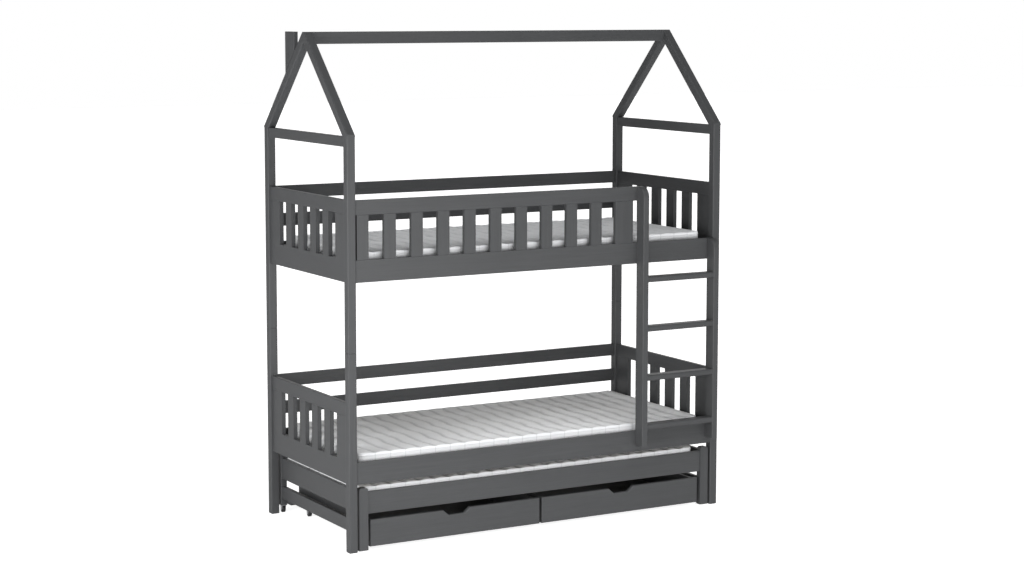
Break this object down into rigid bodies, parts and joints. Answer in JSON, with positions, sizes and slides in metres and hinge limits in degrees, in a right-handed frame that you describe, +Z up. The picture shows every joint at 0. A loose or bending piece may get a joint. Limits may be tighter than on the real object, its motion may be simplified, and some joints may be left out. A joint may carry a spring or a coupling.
{
  "type": "bunk bed with trundle",
  "caption": "House-shaped wooden bunk bed with guard, ladder and roof frame, and a trundle bed on casters that carries two roll-out drawers.",
  "frame": {"origin": "on the floor, under the middle of the outer box of the bed and its ladder", "axes": "+X along the bed to the ladder end, +Y from the ladder side to the wall side, +Z up"},
  "size_m": [1.98, 0.956, 2.298],
  "materials": {
    "graphite_paint": "solid wood in satin graphite-grey paint, fine grain just showing",
    "mattress_cover": "white quilted knit cover with piped edges",
    "wheel_plastic": "black moulded plastic",
    "caster_steel": "zinc-plated pressed steel",
    "slat_wood": "bare planed pine",
    "dowel_wood": "bare beech",
    "fastener_steel": "zinc-plated steel"
  },
  "bodies": {
    "bed_frame": {"cam_fittings": "fastener_steel", "chimney_board": "graphite_paint", "end_panel_lower_left": "graphite_paint", "end_panel_lower_right": "graphite_paint", "end_panel_upper_left": "graphite_paint", "end_panel_upper_right": "graphite_paint", "frame_dowels": "dowel_wood", "gable_tie_left": "graphite_paint", "gable_tie_right": "graphite_paint", "guard_panel": "graphite_paint", "ladder_rungs": "graphite_paint", "ladder_screws": "fastener_steel", "ladder_stile_left": "graphite_paint", "ladder_stile_right": "graphite_paint", "mattress_lower": "mattress_cover", "mattress_upper": "mattress_cover", "post_lower_front_left": "graphite_paint", "post_lower_front_right": "graphite_paint", "post_lower_rear_left": "graphite_paint", "post_lower_rear_right": "graphite_paint", "post_upper_front_left": "graphite_paint", "post_upper_front_right": "graphite_paint", "post_upper_rear_left": "graphite_paint", "post_upper_rear_right": "graphite_paint", "rafters_left": "graphite_paint", "rafters_right": "graphite_paint", "rear_boards": "graphite_paint", "ridge_beam": "graphite_paint", "side_rail_lower_front": "graphite_paint", "side_rail_lower_rear": "graphite_paint", "side_rail_upper_front": "graphite_paint", "side_rail_upper_rear": "graphite_paint", "slat_base_lower": "slat_wood", "slat_base_upper": "slat_wood"},
    "trundle": {"trundle_casters": "caster_steel", "trundle_dowels": "dowel_wood", "trundle_mattress": "mattress_cover", "trundle_posts": "graphite_paint", "trundle_rails": "graphite_paint", "trundle_side_boards": "graphite_paint", "trundle_slat_base": "slat_wood"},
    "drawer_left": {"drawer_left_box": "graphite_paint", "drawer_left_casters": "caster_steel", "drawer_left_front": "graphite_paint"},
    "drawer_right": {"drawer_right_box": "graphite_paint", "drawer_right_casters": "caster_steel", "drawer_right_front": "graphite_paint"},
    "trundle_wheel_front_left": {"trundle_wheel_front_left": "wheel_plastic"},
    "trundle_wheel_front_right": {"trundle_wheel_front_right": "wheel_plastic"},
    "trundle_wheel_rear_left": {"trundle_wheel_rear_left": "wheel_plastic"},
    "trundle_wheel_rear_right": {"trundle_wheel_rear_right": "wheel_plastic"},
    "drawer_left_wheel_front_left": {"drawer_left_wheel_front_left": "wheel_plastic"},
    "drawer_left_wheel_front_right": {"drawer_left_wheel_front_right": "wheel_plastic"},
    "drawer_left_wheel_rear_left": {"drawer_left_wheel_rear_left": "wheel_plastic"},
    "drawer_left_wheel_rear_right": {"drawer_left_wheel_rear_right": "wheel_plastic"},
    "drawer_right_wheel_front_left": {"drawer_right_wheel_front_left": "wheel_plastic"},
    "drawer_right_wheel_front_right": {"drawer_right_wheel_front_right": "wheel_plastic"},
    "drawer_right_wheel_rear_left": {"drawer_right_wheel_rear_left": "wheel_plastic"},
    "drawer_right_wheel_rear_right": {"drawer_right_wheel_rear_right": "wheel_plastic"}
  },
  "joints": [
    {"name": "trundle_slide", "type": "slide", "parent": "bed_frame", "child": "trundle", "axis": [0, -1, 0], "range_m": [0, 0.9]},
    {"name": "drawer_left_slide", "type": "slide", "parent": "trundle", "child": "drawer_left", "axis": [0, -1, 0], "range_m": [0, 0.7]},
    {"name": "drawer_right_slide", "type": "slide", "parent": "trundle", "child": "drawer_right", "axis": [0, -1, 0], "range_m": [0, 0.7]},
    {"name": "trundle_wheel_front_left_roll", "type": "hinge", "parent": "trundle", "child": "trundle_wheel_front_left", "pos_m": [-0.917, -0.367, 0.016], "axis": [1, 0, 0], "continuous": true},
    {"name": "trundle_wheel_front_right_roll", "type": "hinge", "parent": "trundle", "child": "trundle_wheel_front_right", "pos_m": [0.917, -0.367, 0.016], "axis": [1, 0, 0], "continuous": true},
    {"name": "trundle_wheel_rear_left_roll", "type": "hinge", "parent": "trundle", "child": "trundle_wheel_rear_left", "pos_m": [-0.925, 0.453, 0.016], "axis": [1, 0, 0], "continuous": true},
    {"name": "trundle_wheel_rear_right_roll", "type": "hinge", "parent": "trundle", "child": "trundle_wheel_rear_right", "pos_m": [0.925, 0.453, 0.016], "axis": [1, 0, 0], "continuous": true},
    {"name": "drawer_left_wheel_front_left_roll", "type": "hinge", "parent": "drawer_left", "child": "drawer_left_wheel_front_left", "pos_m": [-0.852, -0.329, 0.016], "axis": [1, 0, 0], "continuous": true},
    {"name": "drawer_left_wheel_front_right_roll", "type": "hinge", "parent": "drawer_left", "child": "drawer_left_wheel_front_right", "pos_m": [-0.037, -0.329, 0.016], "axis": [1, 0, 0], "continuous": true},
    {"name": "drawer_left_wheel_rear_left_roll", "type": "hinge", "parent": "drawer_left", "child": "drawer_left_wheel_rear_left", "pos_m": [-0.852, 0.3107, 0.016], "axis": [1, 0, 0], "continuous": true},
    {"name": "drawer_left_wheel_rear_right_roll", "type": "hinge", "parent": "drawer_left", "child": "drawer_left_wheel_rear_right", "pos_m": [-0.037, 0.3107, 0.016], "axis": [1, 0, 0], "continuous": true},
    {"name": "drawer_right_wheel_front_left_roll", "type": "hinge", "parent": "drawer_right", "child": "drawer_right_wheel_front_left", "pos_m": [0.037, -0.329, 0.016], "axis": [1, 0, 0], "continuous": true},
    {"name": "drawer_right_wheel_front_right_roll", "type": "hinge", "parent": "drawer_right", "child": "drawer_right_wheel_front_right", "pos_m": [0.852, -0.329, 0.016], "axis": [1, 0, 0], "continuous": true},
    {"name": "drawer_right_wheel_rear_left_roll", "type": "hinge", "parent": "drawer_right", "child": "drawer_right_wheel_rear_left", "pos_m": [0.037, 0.3107, 0.016], "axis": [1, 0, 0], "continuous": true},
    {"name": "drawer_right_wheel_rear_right_roll", "type": "hinge", "parent": "drawer_right", "child": "drawer_right_wheel_rear_right", "pos_m": [0.852, 0.3107, 0.016], "axis": [1, 0, 0], "continuous": true}
  ]
}
